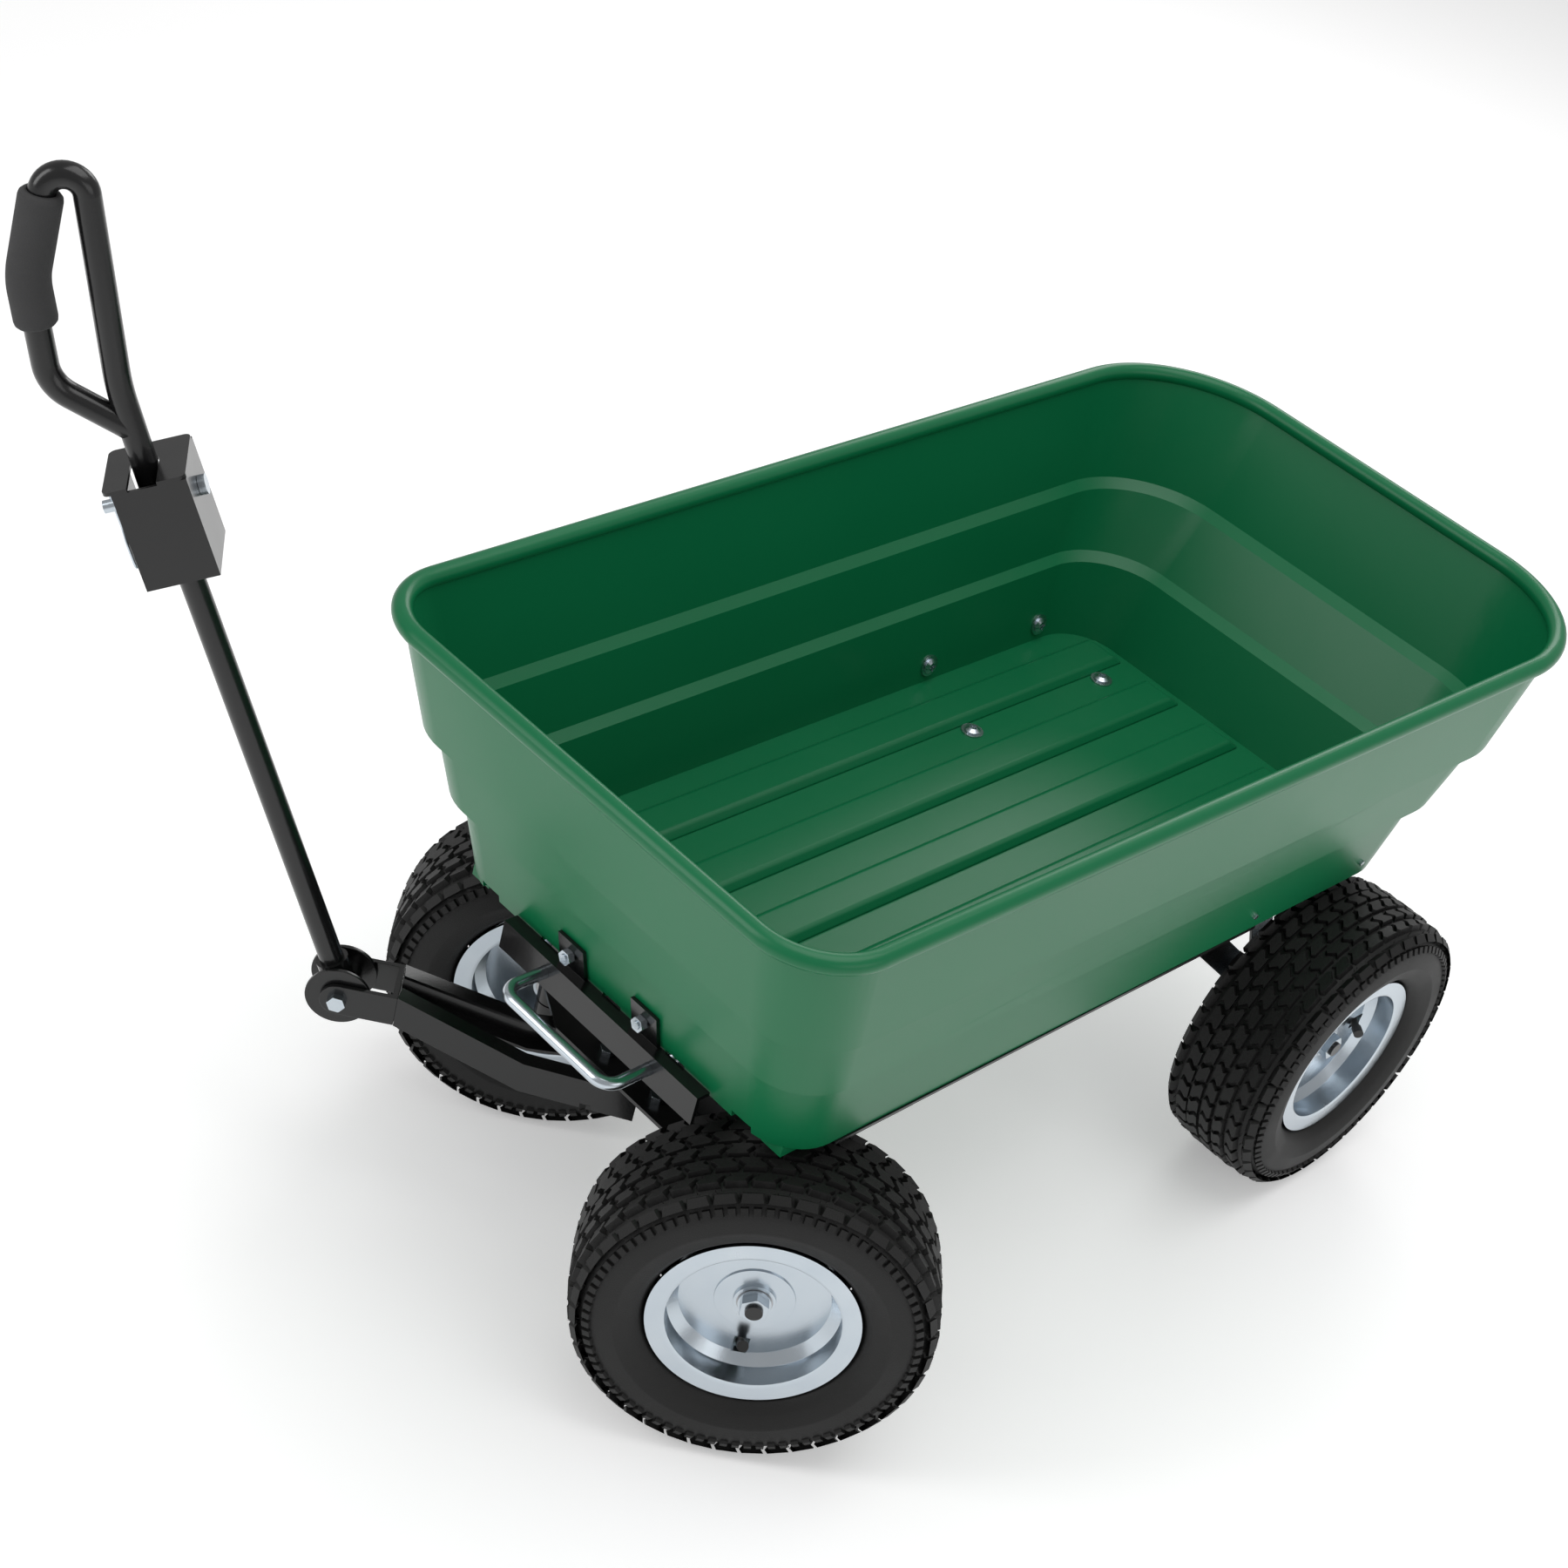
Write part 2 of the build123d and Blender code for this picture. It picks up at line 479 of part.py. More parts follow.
tube = rod_x(TUBE_START, BOX_S[0] - SEAT, 0, 0, TUBE_D)
tube = tube - rod_x(TUBE_START - 1, BOX_S[0] + 5, 0, 0, TUBE_D - 2 * TUBE_T)
nodes["handle_tube"] = [HANDLE * tube]

grip_path = rounded_path(GRIP, GRIP_R)
grip = tube_on(grip_path[:3], TUBE_D) + tube_on(grip_path[3:], TUBE_D)
pin_hole = Pos(PIN_S, 0, 0) * Rot(90, 0, 0) * Cylinder(PIN_D / 2 + RUN, 150)
hollow = Plane(origin=grip_path[0] @ 0, z_dir=grip_path[0] % 0).location * rod(0, 0, -1, 90, TUBE_D - 2 * TUBE_T)
nodes["grip_tube"] = [GRIP_AT * (grip - hollow - pin_hole)]
foam_edges = [grip_path[4], grip_path[5], Line(grip_path[6] @ 0, grip_path[6] @ 0.47)]
foam = tube_on(foam_edges, FOAM_D) - tube_on(foam_edges, TUBE_D + 2 * FIT)
nodes["foam_grip"] = [GRIP_AT * foam]

# hitch box: bent from plate, open on one side, with a slot in its top for the grip
body = box(BOX_S[0], BOX_S[1], BOX_N[0], BOX_N[1], BOX_W[0], BOX_W[1])
body = body - box(BOX_S[0] + BOX_T, BOX_S[1] + 1, BOX_N[0] + BOX_T, BOX_N[1] - BOX_T, BOX_W[0] - 1, BOX_W[1] - BOX_T)
cap = box(BOX_S[1], BOX_S[1] + BOX_T, TOP_N[0], TOP_N[1], BOX_W[0], BOX_W[1])
corners = [e for e in cap.edges() if abs((e % 0.5).X) > 0.99]
cap = fillet(corners, 6)
slot_y = GRIP[0][1] + (GRIP[1][1] - GRIP[0][1]) * (BOX_S[1] - GRIP[0][0]) / (GRIP[1][0] - GRIP[0][0])
slot_r = TUBE_D / 2 + 1.2
slot = box(BOX_S[1] - 5, BOX_S[1] + BOX_T + 1, slot_y - slot_r, slot_y + slot_r, GRIP_OFF, BOX_W[1] + 1)
slot = slot + rod_x(BOX_S[1] - 5, BOX_S[1] + BOX_T + 1, slot_y, GRIP_OFF, 2 * slot_r)
body = body + cap
body = body - (slot & box(BOX_S[1] - 0.1, 600, -60, 60, -80, 60))
body = body - Pos(0, 0, GRIP_OFF) * pin_hole
nodes["hitch_box"] = [HITCH * body]

HEAD_N = BOX_N[0] - 0.3
PIN_PAST = 18.0
pin_len = BOX_N[1] + PIN_PAST - HEAD_N
pin = Pos(PIN_S, HEAD_N + pin_len / 2, 0) * Rot(90, 0, 0) * Cylinder(PIN_D / 2, pin_len)
pin = pin + Pos(PIN_S, HEAD_N - 3, 0) * Rot(90, 0, 0) * Cylinder(8.5, 6)
CLIP_N = TOP_N[1] + 3
CLIP_D = 2.6
pin = pin - Pos(PIN_S, CLIP_N, 0) * Rot(0, 90, 0) * Cylinder(CLIP_D / 2 + 0.25, 40)
nodes["hitch_pin"] = [GRIP_AT * pin]
CLIP = [(13.0, 0.0), (-22.0, 0.0), (-36.0, -4.5), (-60.0, -4.5), (-60.0, 10.0), (-36.0, 10.0), (-18.0, 4.2),
        (0.0, 12.0), (14.0, 9.2)]
clip = tube_on(rounded_path(CLIP, [20.0, 20.0, 6.5, 6.5, 14.0, 12.0, 8.0]), CLIP_D)
nodes["r_clip"] = [GRIP_AT * Pos(PIN_S, CLIP_N, 0) * Rot(-90, 0, 0) * clip]

# ---------------------------------------------------------------- tub


def outline(level, inset=0.0, lift=0.0):
    z, xf, xr, wf, wr, rf, rr = level
    xf, xr, wf, wr = xf - inset, xr + inset, wf - inset, wr - inset
    face = make_face(Polyline((xf, wf), (xr, wr), (xr, -wr), (xf, -wf), close=True))
    fronts = [v for v in face.vertices() if v.X > 0]
    rears = [v for v in face.vertices() if v.X < 0]
    face = fillet(fronts, max(rf - inset, 5))
    rears = [v for v in face.vertices() if v.X < xr + 1 and abs(v.Y) > wr - 1]
    face = fillet(rears, max(rr - inset, 5))
    return up(z + lift) * face


def tier(low, high, inset=0.0, lift=0.0, raise_top=0.0):
    return loft([outline(low, inset, lift), outline(high, inset, raise_top)], ruled=True)


LEVELS = (TUB_BASE, LOW_TOP, MID_BASE, MID_TOP, TOP_BASE, TUB_RIM)
outside = tier(LEVELS[0], LEVELS[1])
inside = tier(LEVELS[0], LEVELS[1], WALL, WALL, 0.0)
for low, high in zip(LEVELS[1:-1], LEVELS[2:]):
    outside = outside + tier(low, high)
    inside = inside + tier(low, high, WALL)
inside = inside + up(RIM_Z) * extrude(Pos(0, 0, -RIM_Z) * outline(TUB_RIM, WALL), 20)
shell = outside - inside
bead_face = outline(TUB_RIM)
bead_wire = bead_face.faces()[0].outer_wire()
bead = sweep(Plane(origin=bead_wire @ 0, z_dir=bead_wire % 0) * (Circle(BEAD_R)), path=bead_wire)
shell = shell + bead
rib_rise = box(RIB_REAR, RIB_FRONT, -RIB_W / 2, RIB_W / 2, BASE_Z, FLOOR_Z + RIB_H)
rib_cut = box(RIB_REAR + 5, TUB_FRONT + 100, -RIB_W / 2 + 5, RIB_W / 2 - 5, BASE_Z - 20, BASE_Z + RIB_H)
rib_rise = fillet(rib_rise.edges().filter_by(Axis.Z).group_by(Axis.X)[0], 8)
rib_cut = fillet(rib_cut.edges().filter_by(Axis.Z).group_by(Axis.X)[0], 5)
for i in (-2, -1, 0, 1, 2):
    shell = shell + Pos(0, i * RIB_PITCH, 0) * rib_rise
for i in (-2, -1, 0, 1, 2):
    shell = shell - Pos(0, i * RIB_PITCH, 0) * rib_cut
lug = box(TUB_FRONT - 48, TUB_FRONT - 12, 186, 210, BASE_Z - 10.5, BASE_Z + 1)
for piece in both_sides(lug):
    shell = shell + piece



def wall_y(x, z):
    """Inner face of the lowest side wall at its two edges."""
    level = TUB_BASE if z == FLOOR_Z else LOW_TOP
    along = (x - level[2]) / (level[1] - level[2])
    return level[4] + (level[3] - level[4]) * along - WALL


# screws through the floor into the hinge brackets, and into the side walls
SCREW_X = (-23.0, 187.0)
WALL_SCREW_X = (-12.0, 166.0)
SCREW_Y = 1.5 * RIB_PITCH + 7.0
WALL_SCREW_Z = 368.0
SCREW_D = 8.0
HINGE_T = 3.0
screws = []
washers = []
for x, x_wall in zip(SCREW_X, WALL_SCREW_X):
    for side in (-1, 1):
        shell = shell - rod(x, side * SCREW_Y, 300, 360, SCREW_D + 2 * FIT)
        head = rod(0, 0, 1.8 + FIT, 3.2, 17) + up(3.2) * Cone(8.5, 4.5, 2.6, align=(Align.CENTER, Align.CENTER, Align.MIN))
        cross_cut = box(-4.5, 4.5, -0.8, 0.8, 4.2, 9) + box(-0.8, 0.8, -4.5, 4.5, 4.2, 9)
        body = head + rod(0, 0, -14, 2.5, SCREW_D) - cross_cut
        screws.append(Pos(x, side * SCREW_Y, FLOOR_Z) * body)
        washers.append(Pos(x, side * SCREW_Y, FLOOR_Z) * ring(FIT, 1.8, 24, SCREW_D + 2 * FIT))
        wall_head = head + rod(0, 0, -7.5, 2.5, 6) - cross_cut
        seat_low = wall_y(x_wall, FLOOR_Z)
        lean = (wall_y(x_wall, LOW_TOP[0]) - seat_low) / (LOW_TOP[0] - FLOOR_Z)
        seat_at = (x_wall, side * (seat_low + lean * (WALL_SCREW_Z - FLOOR_Z)), WALL_SCREW_Z)
        at = Plane(origin=seat_at, x_dir=(1, 0, 0), z_dir=(0, -side, lean)).location
        shell = shell - at * rod(0, 0, -9, 1, 6 + 2 * FIT)
        screws.append(at * wall_head)
        washers.append(at * ring(FIT, 1.8, 24, 6 + 2 * FIT))
nodes["tub_screws"] = screws + washers

HINGE_TOP = BASE_Z - SEAT
hinge = box(-84, 196, 128, 184, HINGE_TOP - HINGE_T, HINGE_TOP)
EAR_Y = (181.0, 185.0)
hinge = hinge + box(HINGE_X - 15, HINGE_X + 15, EAR_Y[0], EAR_Y[1], HINGE_Z, HINGE_TOP - 1)
hinge = hinge + rod_y(HINGE_X, EAR_Y[0], EAR_Y[1], HINGE_Z, 30)
hinge = hinge - rod_y(HINGE_X, 170, 190, HINGE_Z, HINGE_PIN_D + 2 * FIT)
for x in SCREW_X:
    hinge = hinge - rod(x, SCREW_Y, 300, 360, SCREW_D + 2 * FIT)
nodes["hinge_bracket_left"] = [hinge]
nodes["hinge_bracket_right"] = [mirror(hinge, about=Plane.XZ)]
pin_in = rod_y(HINGE_X, EAR_Y[0] - 3, RAIL_WEB + PLATE + 0.6, HINGE_Z, HINGE_PIN_D)
pin_in = pin_in + rod_y(HINGE_X, RAIL_WEB + PLATE + 0.5, RAIL_WEB + PLATE + 4, HINGE_Z, 18)
nodes["hinge_pins"] = both_sides(pin_in)

# latch bracket on the front wall
slope = (LOW_TOP[1] - TUB_BASE[1]) / (LOW_TOP[0] - TUB_BASE[0])
TAB_Z = (351.0, 388.0)


def wall_x(z):
    return TUB_BASE[1] + slope * (z - BASE_Z)


bracket = box(BRACKET_X, BRACKET_X + PLATE, -131, 131, 320, TAB_Z[0])
bracket = bracket + box(wall_x(TAB_Z[0]) + 0.4, BRACKET_X + 1, -131, 131, TAB_Z[0] - PLATE, TAB_Z[0])
BOLT_Y = 49.0
BOLT_Z = 371.0
for side in (-1, 1):
    tab = plate_xz([(wall_x(TAB_Z[0] - 1) + 0.4, TAB_Z[0] - 1), (wall_x(TAB_Z[1]) + 0.4, TAB_Z[1]),
                    (wall_x(TAB_Z[1]) + 0.4 + PLATE, TAB_Z[1]), (wall_x(TAB_Z[0] - 1) + 0.4 + PLATE, TAB_Z[0] - 1)],
                   side * BOLT_Y - 17, side * BOLT_Y + 17)
    bracket = bracket + tab
    bracket = bracket - rod_x(TUB_FRONT - 20, BRACKET_X + 17, side * BOLT_Y, BOLT_Z, 8 + 2 * FIT)
    bracket = bracket - rod_x(BRACKET_X - 5, BRACKET_X + 10, side * ROD_Y, ROD_Z, ROD_D + 2 * RUN)
    shell = shell - rod_x(TUB_FRONT - 20, BRACKET_X + 17, side * BOLT_Y, BOLT_Z, 8 + 2 * FIT)
nodes["latch_bracket"] = [bracket]
inner_x = wall_x(BOLT_Z - 9) - WALL * 1.3 - FIT
bolt_list = []
nut_list = []
for side in (-1, 1):
    shank = rod_x(inner_x - 1, BRACKET_X + 9, side * BOLT_Y, BOLT_Z, 8)
    bolt_head = rod_x(inner_x - 4, inner_x, side * BOLT_Y, BOLT_Z, 18)
    bolt_list.append(shank + bolt_head)
    face_x = wall_x(BOLT_Z + 7) + 0.4 + PLATE + FIT
    nut = Plane(origin=(face_x, side * BOLT_Y, BOLT_Z), x_dir=(0, 1, 0), z_dir=(1, 0, 0)).location
    nut_list.append(nut * hexagon(0, 6.5, 13, 8 + 2 * FIT))
nodes["bracket_bolts"] = bolt_list + nut_list
nodes["tub"] = [shell]

# ---------------------------------------------------------------- latch bar, collars, springs
bar_path = [(ROD_TIP, -ROD_Y), (ROD_OUT, -ROD_Y), (ROD_OUT, ROD_Y), (ROD_TIP, ROD_Y)]
bar_edges = rounded_path(bar_path, [16.0, 16.0])
nodes["latch_bar"] = [up(ROD_Z) * tube_on(bar_edges, ROD_D)]
COLLAR_X = BRACKET_X - 41.0
collars = []
springs = []
WIRE = 2.0
SPRING_R = ROD_D / 2 + WIRE / 2 + 0.2
for side in (-1, 1):
    c = rod_x(COLLAR_X - 4, COLLAR_X, side * ROD_Y, ROD_Z, 17) - rod_x(COLLAR_X - 20, COLLAR_X + 20, side * ROD_Y, ROD_Z, ROD_D + 2 * FIT)
    collars.append(c)
    length = BRACKET_X - COLLAR_X - 2 * SEAT
    coil = ring(0, length, 2 * SPRING_R + WIRE, 2 * SPRING_R - WIRE)
    springs.append(Pos(COLLAR_X + SEAT, side * ROD_Y, ROD_Z) * Rot(0, 90, 0) * coil)
nodes["latch_collars"] = collars
nodes["latch_springs"] = springs

os.makedirs("parts", exist_ok=True)
for name, solids in nodes.items():
    pieces = []
    for s in solids:
        pieces += list(s.solids())
    export_step(Compound(children=pieces, label=name), "parts/" + name + ".step")
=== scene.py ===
# %% Start
import json
import math
import random
import bmesh
import bpy
from mathutils import Matrix, Vector


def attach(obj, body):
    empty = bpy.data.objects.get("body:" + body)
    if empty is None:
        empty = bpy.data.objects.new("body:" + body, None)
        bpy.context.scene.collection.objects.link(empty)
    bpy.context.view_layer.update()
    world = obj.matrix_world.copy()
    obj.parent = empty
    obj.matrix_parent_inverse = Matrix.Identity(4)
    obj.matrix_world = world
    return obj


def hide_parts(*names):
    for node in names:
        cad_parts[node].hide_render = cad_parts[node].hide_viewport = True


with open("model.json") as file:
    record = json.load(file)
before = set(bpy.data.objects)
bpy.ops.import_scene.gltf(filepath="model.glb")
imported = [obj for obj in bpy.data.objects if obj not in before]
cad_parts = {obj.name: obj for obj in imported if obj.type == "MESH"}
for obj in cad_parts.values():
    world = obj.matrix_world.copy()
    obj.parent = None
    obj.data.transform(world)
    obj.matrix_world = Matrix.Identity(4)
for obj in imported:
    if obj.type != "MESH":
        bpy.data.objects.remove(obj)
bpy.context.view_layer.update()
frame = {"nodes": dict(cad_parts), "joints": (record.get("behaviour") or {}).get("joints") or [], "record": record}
nodes = frame["nodes"]
body_of_node = {n: b for b, members in frame["record"]["behaviour"]["bodies"].items() for n in members}
slot_of_node = {s["node"]: s["material_slot"] for s in frame["record"]["subparts"]}
print("garden dump cart:", len(nodes), "pieces of steel, plastic and rubber")

# %% [markdown]
# The camera comes first. A studio photographer stands at the front corner of the cart, a little above
# head height, with a short telephoto lens, so the near wheel looks big and the far rim of the tub small.
# The lens is held a few degrees off level, so the camera's three axes are written out as a matrix.

# %% Camera
right = Vector((-0.70790, 0.67043, 0.22227))
above = Vector((-0.27706, -0.55304, 0.78574))
back = Vector((0.64971, 0.49464, 0.57725))
stand = Matrix((right, above, back)).transposed().to_4x4()
stand.translation = Vector((2.26205, 1.22875, 1.97193))
lens = bpy.data.cameras.new("studio_camera")
lens.sensor_width = 36.0
lens.lens = 65.645
camera = bpy.data.objects.new("studio_camera", lens)
bpy.context.collection.objects.link(camera)
camera.matrix_world = stand
bpy.context.scene.camera = camera
print("camera at", [round(v, 2) for v in stand.translation])

# %% [markdown]
# Product pictures are lit with large soft boxes: one overhead that fills the tub, one tall one on the
# camera's left that draws the long highlights on steel tube, and a weak one behind for the far rim.
# The world is a pale grey, so black paint still has something to reflect.

# %% Lights and floor
def soft_box(name, at, aim, size, power):
    lamp = bpy.data.lights.new(name, "AREA")
    lamp.shape = "RECTANGLE"
    lamp.size, lamp.size_y = size
    lamp.energy = power
    thing = bpy.data.objects.new(name, lamp)
    bpy.context.collection.objects.link(thing)
    thing.location = at
    thing.rotation_euler = (Vector(aim) - Vector(at)).to_track_quat("-Z", "Y").to_euler()
    return thing


soft_box("overhead", (0.2, 0.3, 3.2), (0.35, 0, 0.4), (2.6, 2.2), 38)
soft_box("front_side", (3.2, -1.3, 1.9), (0.6, -0.1, 0.4), (1.0, 2.2), 26)
soft_box("near_side", (0.6, 3.4, 1.7), (0.4, 0, 0.35), (2.6, 1.4), 13)
soft_box("behind", (-2.6, -1.6, 2.2), (0.2, 0, 0.5), (1.6, 1.6), 22)

world = bpy.data.worlds.new("studio")
world.use_nodes = True
world.node_tree.nodes["Background"].inputs["Color"].default_value = (1.0, 1.0, 1.0, 1)
world.node_tree.nodes["Background"].inputs["Strength"].default_value = 0.45
bpy.context.scene.world = world
bpy.context.scene.view_settings.view_transform = "Standard"

floor_sheet = bmesh.new()
bmesh.ops.create_grid(floor_sheet, x_segments=1, y_segments=1, size=9.0)
floor_mesh = bpy.data.meshes.new("studio_floor")
floor_sheet.to_mesh(floor_mesh)
floor_sheet.free()
floor = bpy.data.objects.new("studio_floor", floor_mesh)
bpy.context.collection.objects.link(floor)
floor.location = (0, 0, -0.0006)
pale = bpy.data.materials.new("pale_floor")
pale.use_nodes = True
pale.node_tree.nodes["Principled BSDF"].inputs["Base Color"].default_value = (0.93, 0.93, 0.93, 1)
pale.node_tree.nodes["Principled BSDF"].inputs["Roughness"].default_value = 0.85
pale.node_tree.nodes["Principled BSDF"].inputs["Emission Color"].default_value = (1.0, 1.0, 1.0, 1)
pale.node_tree.nodes["Principled BSDF"].inputs["Emission Strength"].default_value = 0.32
floor_mesh.materials.append(pale)

# %% [markdown]
# Two effects are shared by every finish, so each is built once as a node group. "surface_grain" gives the
# fine unevenness that mould, paint or rubber has: a height for the bump and a small change of roughness.
# "settled_dust" gives a mask that is strongest on faces that look up, where dust gathers.

# %% Shared node groups
def group(name, sockets):
    tree = bpy.data.node_groups.new(name, "ShaderNodeTree")
    for side, label, kind, value in sockets:
        item = tree.interface.new_socket(name=label, in_out=side, socket_type=kind)
        if value is not None:
            item.default_value = value
    start = tree.nodes.new("NodeGroupInput")
    end = tree.nodes.new("NodeGroupOutput")
    return tree, start, end


def node(tree, kind, **values):
    made = tree.nodes.new(kind)
    for key, value in values.items():
        setattr(made, key, value)
    return made


grain, g_in, g_out = group("surface_grain", [
    ("INPUT", "Fine scale", "NodeSocketFloat", 900.0), ("INPUT", "Broad scale", "NodeSocketFloat", 9.0),
    ("INPUT", "Roughness", "NodeSocketFloat", 0.4), ("INPUT", "Variation", "NodeSocketFloat", 0.08),
    ("OUTPUT", "Height", "NodeSocketFloat", None), ("OUTPUT", "Roughness", "NodeSocketFloat", None),
    ("OUTPUT", "Patches", "NodeSocketFloat", None)])
coords = node(grain, "ShaderNodeTexCoord")
fine = node(grain, "ShaderNodeTexNoise")
fine.inputs["Detail"].default_value = 3.0
broad = node(grain, "ShaderNodeTexNoise")
broad.inputs["Detail"].default_value = 5.0
centred = node(grain, "ShaderNodeMath", operation="SUBTRACT")
centred.inputs[1].default_value = 0.5
shift = node(grain, "ShaderNodeMath", operation="MULTIPLY_ADD")
for a, b in ((coords.outputs["Object"], fine.inputs["Vector"]),
             (coords.outputs["Object"], broad.inputs["Vector"]),
             (g_in.outputs["Fine scale"], fine.inputs["Scale"]),
             (g_in.outputs["Broad scale"], broad.inputs["Scale"]),
             (broad.outputs["Fac"], centred.inputs[0]), (centred.outputs[0], shift.inputs[0]),
             (g_in.outputs["Variation"], shift.inputs[1]), (g_in.outputs["Roughness"], shift.inputs[2]),
             (fine.outputs["Fac"], g_out.inputs["Height"]), (shift.outputs[0], g_out.inputs["Roughness"]),
             (broad.outputs["Fac"], g_out.inputs["Patches"])):
    grain.links.new(a, b)

dust, d_in, d_out = group("settled_dust", [
    ("INPUT", "Amount", "NodeSocketFloat", 0.1), ("OUTPUT", "Mask", "NodeSocketFloat", None)])
facing = node(dust, "ShaderNodeNewGeometry")
parts = node(dust, "ShaderNodeSeparateXYZ")
upward = node(dust, "ShaderNodeMapRange")
upward.inputs["From Min"].default_value = 0.2
specks = node(dust, "ShaderNodeTexNoise")
specks.inputs["Scale"].default_value = 60.0
specks.inputs["Detail"].default_value = 8.0
where = node(dust, "ShaderNodeTexCoord")
spread = node(dust, "ShaderNodeMath", operation="MULTIPLY")
amount = node(dust, "ShaderNodeMath", operation="MULTIPLY")
for a, b in ((facing.outputs["Normal"], parts.inputs[0]), (parts.outputs["Z"], upward.inputs["Value"]),
             (where.outputs["Object"], specks.inputs["Vector"]), (upward.outputs["Result"], spread.inputs[0]),
             (specks.outputs["Fac"], spread.inputs[1]), (spread.outputs[0], amount.inputs[0]),
             (d_in.outputs["Amount"], amount.inputs[1]), (amount.outputs[0], d_out.inputs["Mask"])):
    dust.links.new(a, b)
print("shared groups: surface_grain, settled_dust")

# %% [markdown]
# Each finish is a Principled shader fed by the two groups. The colour is mixed between two close tones by
# the broad patches, because no real paint or plastic is one flat colour. Gloss that is the same all over,
# such as a clear coat, is set on the shader's own socket.

# %% Finishes
def finish(name, tone, second, rough, vary, fine=900.0, broad=9.0, bump=0.0004, metal=0.0, coat=0.0,
           dusty=0.05, strength=0.3, shine=0.5):
    material = bpy.data.materials.new(name)
    material.use_nodes = True
    tree = material.node_tree
    shader = tree.nodes["Principled BSDF"]
    skin = node(tree, "ShaderNodeGroup", node_tree=grain)
    skin.inputs["Fine scale"].default_value = fine
    skin.inputs["Broad scale"].default_value = broad
    skin.inputs["Roughness"].default_value = rough
    skin.inputs["Variation"].default_value = vary
    film = node(tree, "ShaderNodeGroup", node_tree=dust)
    film.inputs["Amount"].default_value = dusty
    tones = node(tree, "ShaderNodeMix", data_type="RGBA")
    tones.inputs["A"].default_value = (*tone, 1)
    tones.inputs["B"].default_value = (*second, 1)
    dusted = node(tree, "ShaderNodeMix", data_type="RGBA")
    dusted.inputs["B"].default_value = (0.42, 0.40, 0.37, 1)
    relief = node(tree, "ShaderNodeBump")
    relief.inputs["Distance"].default_value = bump
    relief.inputs["Strength"].default_value = strength
    for a, b in ((skin.outputs["Patches"], tones.inputs["Factor"]),
                 (tones.outputs["Result"], dusted.inputs["A"]),
                 (film.outputs["Mask"], dusted.inputs["Factor"]),
                 (dusted.outputs["Result"], shader.inputs["Base Color"]),
                 (skin.outputs["Roughness"], shader.inputs["Roughness"]),
                 (skin.outputs["Height"], relief.inputs["Height"]),
                 (relief.outputs["Normal"], shader.inputs["Normal"])):
        tree.links.new(a, b)
    shader.inputs["Metallic"].default_value = metal
    shader.inputs["Specular IOR Level"].default_value = shine
    shader.inputs["Coat Weight"].default_value = coat
    shader.inputs["Coat Roughness"].default_value = 0.12
    return material


finishes = {
    "green": finish("green_moulded_plastic", (0.0026, 0.138, 0.050), (0.0036, 0.154, 0.057), 0.31, 0.10,
                    fine=1500, broad=5, bump=0.0003, dusty=0.01, strength=0.22, shine=0.32),
    "black_paint": finish("black_powder_coat", (0.0032, 0.0032, 0.0035), (0.006, 0.006, 0.0065), 0.24, 0.12,
                          fine=420, broad=14, bump=0.0004, coat=0.22, dusty=0.015, strength=0.18, shine=0.4),
    "zinc": finish("zinc_plate", (0.46, 0.52, 0.58), (0.60, 0.65, 0.69), 0.24, 0.16,
                   fine=700, broad=24, bump=0.0003, metal=1.0, dusty=0.0, strength=0.12),
    "tyre": finish("tyre_rubber", (0.0050, 0.0050, 0.0052), (0.0090, 0.0088, 0.0086), 0.55, 0.22,
                   fine=800, broad=20, bump=0.0006, dusty=0.02, strength=0.4, shine=0.32),
    "valve_rubber": finish("valve_rubber", (0.010, 0.010, 0.010), (0.016, 0.016, 0.016), 0.5, 0.1,
                           dusty=0.02),
    "foam": finish("grip_foam", (0.030, 0.030, 0.031), (0.045, 0.045, 0.046), 0.86, 0.1,
                   fine=1300, broad=30, bump=0.0010, dusty=0.02, strength=0.6),
    "bearing": finish("bearing_steel", (0.40, 0.40, 0.41), (0.55, 0.55, 0.56), 0.3, 0.15,
                      metal=1.0, dusty=0.0),
}
for name, thing in nodes.items():
    thing.data.materials.clear()
    thing.data.materials.append(finishes[slot_of_node[name]])
print("finishes:", ", ".join(finishes))

# %% [markdown]
# Steel plate and moulded plastic never have knife edges: the press, the paint and the mould round them.
# So each such piece is copied from the frame, its loose triangles are welded and merged into flat faces,
# and a small bevel is put on every edge that turns sharply. The rounded edge is what catches the light.

# %% Rounded edges for plate, tube and tub
def dressed(title, mesh, slot, body, stands_for=None):
    mesh.materials.append(finishes[slot])
    for face in mesh.polygons:
        face.use_smooth = True
    piece = bpy.data.objects.new(title, mesh)
    bpy.context.collection.objects.link(piece)
    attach(piece, body)
    if stands_for:
        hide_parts(stands_for)
    return piece


def rounded(piece, width, steps, angle=None):
    edge = piece.modifiers.new("rounded", "BEVEL")
    edge.width = width
    edge.segments = steps
    if angle:
        edge.limit_method = "ANGLE"
        edge.angle_limit = math.radians(angle)
    return piece.modifiers.new("even", "WEIGHTED_NORMAL")


def softened(name, width, angle=25, steps=2, title=None):
    source = nodes[name]
    work = bmesh.new()
    work.from_mesh(source.data)
    bmesh.ops.remove_doubles(work, verts=work.verts, dist=1e-6)
    bmesh.ops.dissolve_limit(work, angle_limit=math.radians(0.6), verts=work.verts, edges=work.edges)
    mesh = bpy.data.meshes.new(title or name + "_finished")
    work.to_mesh(mesh)
    work.free()
    piece = dressed(mesh.name, mesh, slot_of_node[name], body_of_node[name], stands_for=name)
    rounded(piece, width, steps, angle).keep_sharp = True
    return piece


